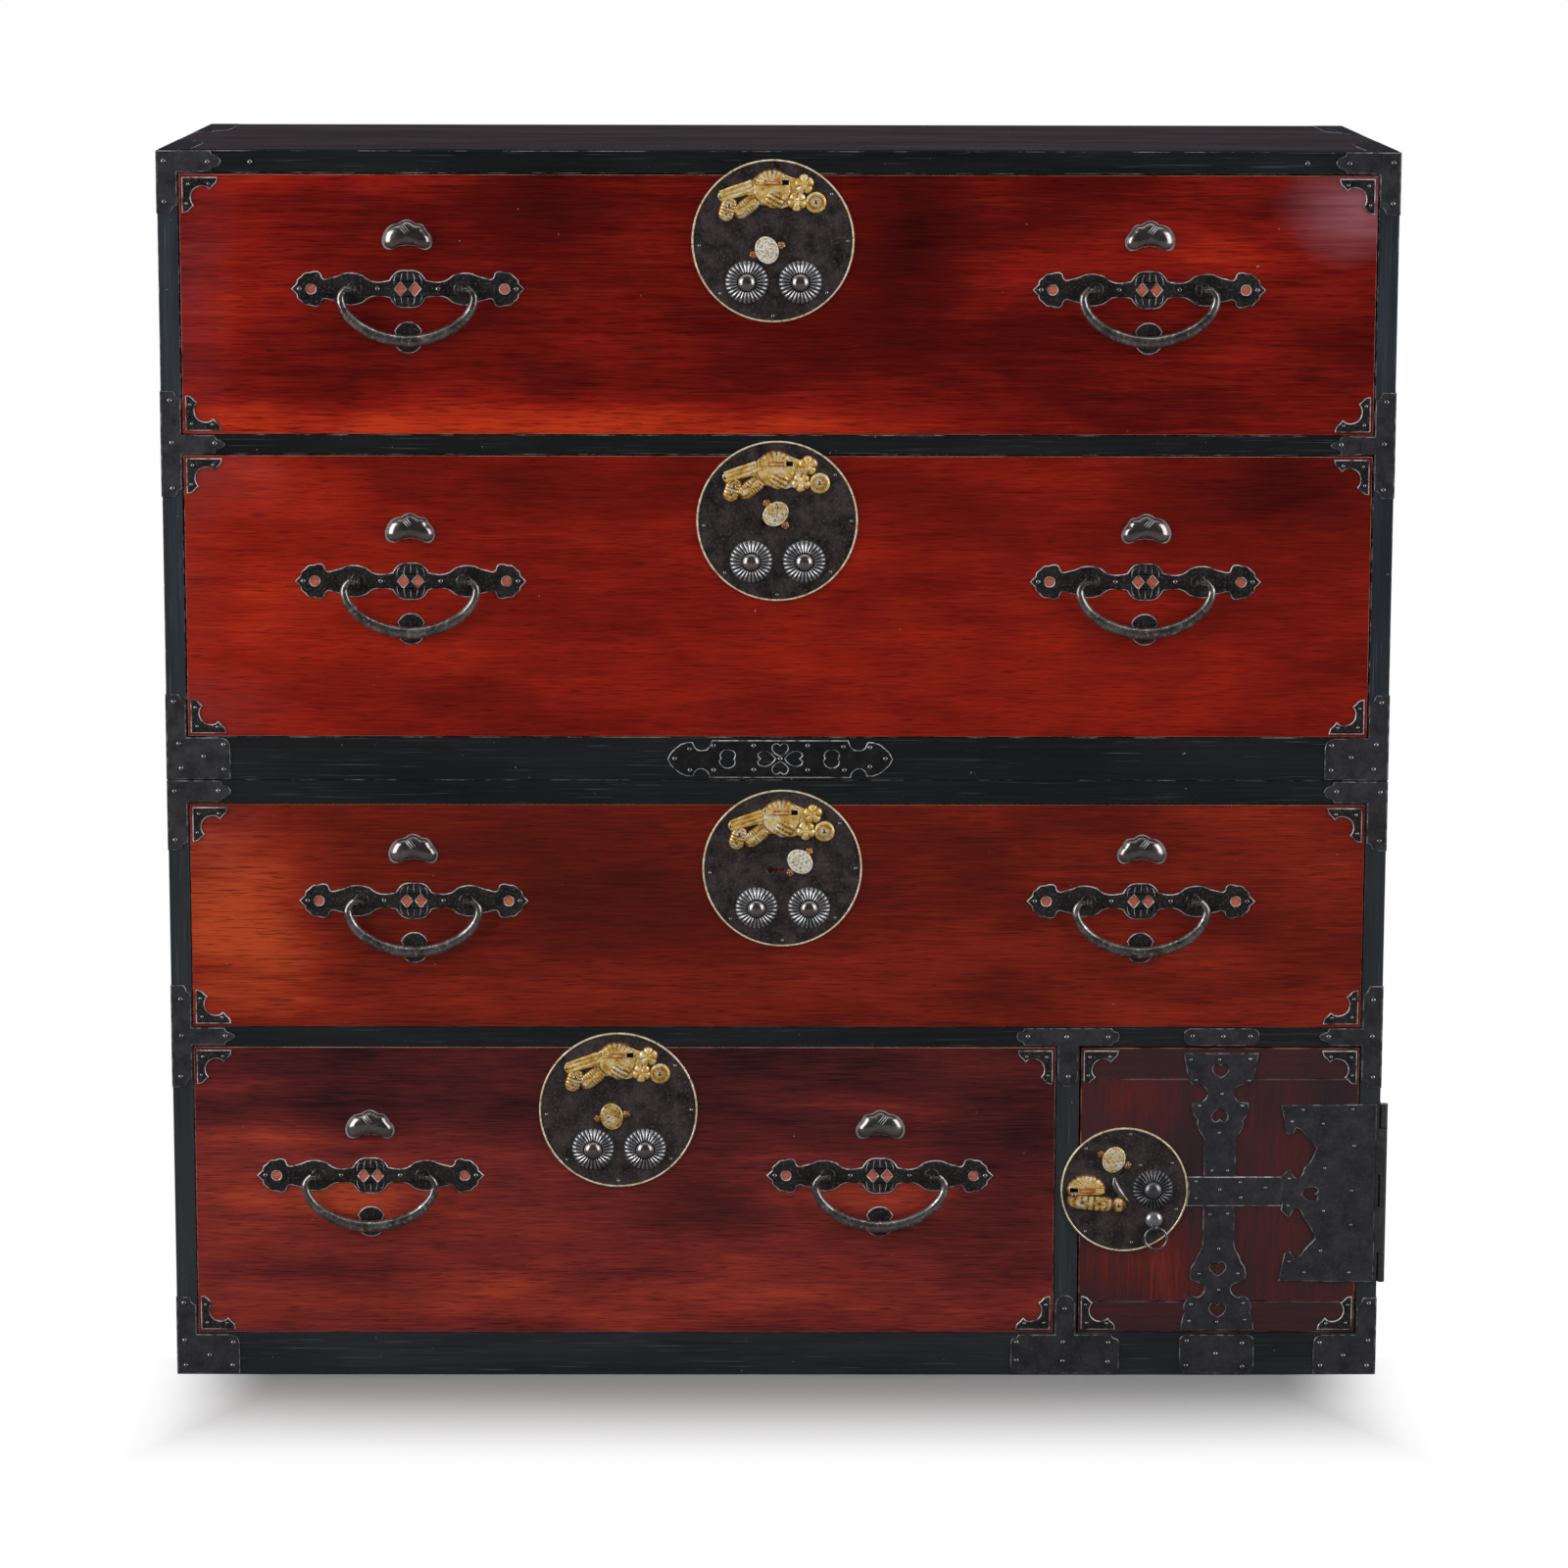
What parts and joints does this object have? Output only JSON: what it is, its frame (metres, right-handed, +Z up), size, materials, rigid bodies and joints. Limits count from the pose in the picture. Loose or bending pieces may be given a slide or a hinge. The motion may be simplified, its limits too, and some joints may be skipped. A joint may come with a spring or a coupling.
{
  "type": "clothing chest",
  "caption": "Two-section clothing chest with lacquered drawers over a drawer and a hinged door, black iron fittings and bail handles.",
  "frame": {"origin": "centre of the underside, on the floor", "axes": "+Z up, the drawer fronts face -Y, +X to the viewer's right facing the front"},
  "size_m": [1.0679, 0.4447, 1.08],
  "materials": {
    "red_lacquer": "translucent red lacquer over fine-grained wood, satin",
    "maroon_lacquer": "darker red lacquer over fine-grained wood, satin",
    "door_lacquer": "dark red-brown lacquer, brushed, satin",
    "frame_lacquer": "black lacquer, worn at the edges",
    "side_lacquer": "black lacquer, satin",
    "top_lacquer": "dark brown-black lacquer showing the grain",
    "drawer_wood": "bare paulownia, planed",
    "case_wood": "bare softwood, aged",
    "wrought_iron": "blackened wrought iron, rubbed bright on its edges",
    "lock_iron": "blackened iron sheet, satin",
    "strap_iron": "blackened iron strap, dull",
    "inner_iron": "dark filed iron",
    "gilt_brass": "engraved gilt, rubbed",
    "pale_gilt": "pale gilt, rubbed",
    "tab_copper": "copper-toned brass, filed"
  },
  "bodies": {
    "lower_case": {"lower_case_sides": "side_lacquer", "lower_case_boards": "case_wood", "lower_case_back": "case_wood", "lower_case_divider": "case_wood", "lower_case_frame": "frame_lacquer", "lower_case_straps": "strap_iron", "side_hinge_leaf": "wrought_iron"},
    "upper_case": {"upper_case_sides": "side_lacquer", "upper_case_boards": "top_lacquer", "upper_case_back": "case_wood", "upper_case_frame": "frame_lacquer", "upper_case_straps": "strap_iron"},
    "top_drawer": {"top_drawer_front": "red_lacquer", "top_drawer_box": "drawer_wood", "top_drawer_iron_fittings": "wrought_iron", "top_drawer_lock_plate": "lock_iron", "top_drawer_lock_ornament": "gilt_brass"},
    "top_drawer_key_cover": {"top_drawer_key_cover": "pale_gilt"},
    "top_drawer_lock_tab": {"top_drawer_lock_tab": "tab_copper"},
    "top_drawer_lock_bolt": {"top_drawer_lock_bolt": "inner_iron"},
    "top_drawer_left_bail": {"top_drawer_left_bail": "wrought_iron"},
    "top_drawer_right_bail": {"top_drawer_right_bail": "wrought_iron"},
    "second_drawer": {"second_drawer_front": "red_lacquer", "second_drawer_box": "drawer_wood", "second_drawer_iron_fittings": "wrought_iron", "second_drawer_lock_plate": "lock_iron", "second_drawer_lock_ornament": "gilt_brass"},
    "second_drawer_key_cover": {"second_drawer_key_cover": "pale_gilt"},
    "second_drawer_lock_tab": {"second_drawer_lock_tab": "tab_copper"},
    "second_drawer_lock_bolt": {"second_drawer_lock_bolt": "inner_iron"},
    "second_drawer_left_bail": {"second_drawer_left_bail": "wrought_iron"},
    "second_drawer_right_bail": {"second_drawer_right_bail": "wrought_iron"},
    "third_drawer": {"third_drawer_front": "red_lacquer", "third_drawer_box": "drawer_wood", "third_drawer_iron_fittings": "wrought_iron", "third_drawer_lock_plate": "lock_iron", "third_drawer_lock_ornament": "gilt_brass"},
    "third_drawer_key_cover": {"third_drawer_key_cover": "pale_gilt"},
    "third_drawer_lock_tab": {"third_drawer_lock_tab": "tab_copper"},
    "third_drawer_lock_bolt": {"third_drawer_lock_bolt": "inner_iron"},
    "third_drawer_left_bail": {"third_drawer_left_bail": "wrought_iron"},
    "third_drawer_right_bail": {"third_drawer_right_bail": "wrought_iron"},
    "bottom_drawer": {"bottom_drawer_front": "maroon_lacquer", "bottom_drawer_box": "drawer_wood", "bottom_drawer_iron_fittings": "wrought_iron", "bottom_drawer_lock_plate": "lock_iron", "bottom_drawer_lock_ornament": "gilt_brass"},
    "bottom_drawer_key_cover": {"bottom_drawer_key_cover": "pale_gilt"},
    "bottom_drawer_lock_tab": {"bottom_drawer_lock_tab": "tab_copper"},
    "bottom_drawer_lock_bolt": {"bottom_drawer_lock_bolt": "inner_iron"},
    "bottom_drawer_left_bail": {"bottom_drawer_left_bail": "wrought_iron"},
    "bottom_drawer_right_bail": {"bottom_drawer_right_bail": "wrought_iron"},
    "door": {"door_panel": "door_lacquer", "door_straps": "wrought_iron", "door_hinge_leaf": "wrought_iron", "door_lock_plate": "lock_iron", "door_ornament": "gilt_brass"},
    "door_key_cover": {"door_key_cover": "pale_gilt"},
    "door_lock_bolt": {"door_lock_bolt": "tab_copper"},
    "door_ring": {"door_ring": "pale_gilt"}
  },
  "joints": [
    {"name": "upper_case_lift", "type": "slide", "parent": "lower_case", "child": "upper_case", "axis": [0, 0, 1], "range_m": [0, 0.05]},
    {"name": "top_drawer_slide", "type": "slide", "parent": "upper_case", "child": "top_drawer", "axis": [0, -1, 0], "range_m": [0, 0.32]},
    {"name": "top_drawer_key_cover_turn", "type": "hinge", "parent": "top_drawer", "child": "top_drawer_key_cover", "pos_m": [0.002, -0.20785, 1], "axis": [0, -1, 0], "range_deg": [-179, 5]},
    {"name": "top_drawer_tab_slide", "type": "slide", "parent": "top_drawer", "child": "top_drawer_lock_tab", "axis": [1, 0, 0], "range_m": [0, 0.0055]},
    {"name": "top_drawer_bolt_rise", "type": "slide", "parent": "top_drawer", "child": "top_drawer_lock_bolt", "axis": [0, 0, 1], "range_m": [0, 0.008]},
    {"name": "top_drawer_left_bail_swing", "type": "hinge", "parent": "top_drawer", "child": "top_drawer_left_bail", "pos_m": [-0.317, -0.21685, 0.962], "axis": [-1, 0, 0], "range_deg": [0, 170]},
    {"name": "top_drawer_right_bail_swing", "type": "hinge", "parent": "top_drawer", "child": "top_drawer_right_bail", "pos_m": [0.317, -0.21685, 0.962], "axis": [-1, 0, 0], "range_deg": [0, 170]},
    {"name": "second_drawer_slide", "type": "slide", "parent": "upper_case", "child": "second_drawer", "axis": [0, -1, 0], "range_m": [0, 0.32]},
    {"name": "second_drawer_key_cover_turn", "type": "hinge", "parent": "second_drawer", "child": "second_drawer_key_cover", "pos_m": [0.006, -0.20785, 0.759], "axis": [0, -1, 0], "range_deg": [-110, 74]},
    {"name": "second_drawer_tab_slide", "type": "slide", "parent": "second_drawer", "child": "second_drawer_lock_tab", "axis": [1, 0, 0], "range_m": [0, 0.0055]},
    {"name": "second_drawer_bolt_rise", "type": "slide", "parent": "second_drawer", "child": "second_drawer_lock_bolt", "axis": [0, 0, 1], "range_m": [0, 0.008]},
    {"name": "second_drawer_left_bail_swing", "type": "hinge", "parent": "second_drawer", "child": "second_drawer_left_bail", "pos_m": [-0.317, -0.21685, 0.70975], "axis": [-1, 0, 0], "range_deg": [0, 170]},
    {"name": "second_drawer_right_bail_swing", "type": "hinge", "parent": "second_drawer", "child": "second_drawer_right_bail", "pos_m": [0.317, -0.21685, 0.70975], "axis": [-1, 0, 0], "range_deg": [0, 170]},
    {"name": "third_drawer_slide", "type": "slide", "parent": "lower_case", "child": "third_drawer", "axis": [0, -1, 0], "range_m": [0, 0.32]},
    {"name": "third_drawer_key_cover_turn", "type": "hinge", "parent": "third_drawer", "child": "third_drawer_key_cover", "pos_m": [0.011, -0.20785, 0.454], "axis": [0, -1, 0], "range_deg": [-29, 155]},
    {"name": "third_drawer_tab_slide", "type": "slide", "parent": "third_drawer", "child": "third_drawer_lock_tab", "axis": [1, 0, 0], "range_m": [0, 0.0055]},
    {"name": "third_drawer_bolt_rise", "type": "slide", "parent": "third_drawer", "child": "third_drawer_lock_bolt", "axis": [0, 0, 1], "range_m": [0, 0.008]},
    {"name": "third_drawer_left_bail_swing", "type": "hinge", "parent": "third_drawer", "child": "third_drawer_left_bail", "pos_m": [-0.317, -0.21685, 0.42825], "axis": [-1, 0, 0], "range_deg": [0, 170]},
    {"name": "third_drawer_right_bail_swing", "type": "hinge", "parent": "third_drawer", "child": "third_drawer_right_bail", "pos_m": [0.317, -0.21685, 0.42825], "axis": [-1, 0, 0], "range_deg": [0, 170]},
    {"name": "bottom_drawer_slide", "type": "slide", "parent": "lower_case", "child": "bottom_drawer", "axis": [0, -1, 0], "range_m": [0, 0.32]},
    {"name": "bottom_drawer_key_cover_turn", "type": "hinge", "parent": "bottom_drawer", "child": "bottom_drawer_key_cover", "pos_m": [-0.1325, -0.20785, 0.2375], "axis": [0, -1, 0], "range_deg": [-169, 15]},
    {"name": "bottom_drawer_tab_slide", "type": "slide", "parent": "bottom_drawer", "child": "bottom_drawer_lock_tab", "axis": [1, 0, 0], "range_m": [0, 0.0055]},
    {"name": "bottom_drawer_bolt_rise", "type": "slide", "parent": "bottom_drawer", "child": "bottom_drawer_lock_bolt", "axis": [0, 0, 1], "range_m": [0, 0.008]},
    {"name": "bottom_drawer_left_bail_swing", "type": "hinge", "parent": "bottom_drawer", "child": "bottom_drawer_left_bail", "pos_m": [-0.3575, -0.21685, 0.1815], "axis": [-1, 0, 0], "range_deg": [0, 170]},
    {"name": "bottom_drawer_right_bail_swing", "type": "hinge", "parent": "bottom_drawer", "child": "bottom_drawer_right_bail", "pos_m": [0.0905, -0.21685, 0.1815], "axis": [-1, 0, 0], "range_deg": [0, 170]},
    {"name": "door_swing", "type": "hinge", "parent": "lower_case", "child": "door", "pos_m": [0.5336, -0.20605, 0.16575], "axis": [0, 0, 1], "range_deg": [0, 240]},
    {"name": "door_key_cover_turn", "type": "hinge", "parent": "door", "child": "door_key_cover", "pos_m": [0.3082, -0.20785, 0.1916], "axis": [0, -1, 0], "range_deg": [-97, 11]},
    {"name": "door_bolt_slide", "type": "slide", "parent": "door", "child": "door_lock_bolt", "axis": [-1, 0, 0], "range_m": [0, 0.007]},
    {"name": "door_ring_swing", "type": "hinge", "parent": "door", "child": "door_ring", "pos_m": [0.3338, -0.21485, 0.1358], "axis": [-1, 0, 0], "range_deg": [0, 150]}
  ],
  "couplings": [
    {"joint": "top_drawer_bolt_rise", "follows": "top_drawer_tab_slide", "ratio": 1.4545},
    {"joint": "second_drawer_bolt_rise", "follows": "second_drawer_tab_slide", "ratio": 1.4545},
    {"joint": "third_drawer_bolt_rise", "follows": "third_drawer_tab_slide", "ratio": 1.4545},
    {"joint": "bottom_drawer_bolt_rise", "follows": "bottom_drawer_tab_slide", "ratio": 1.4545}
  ]
}
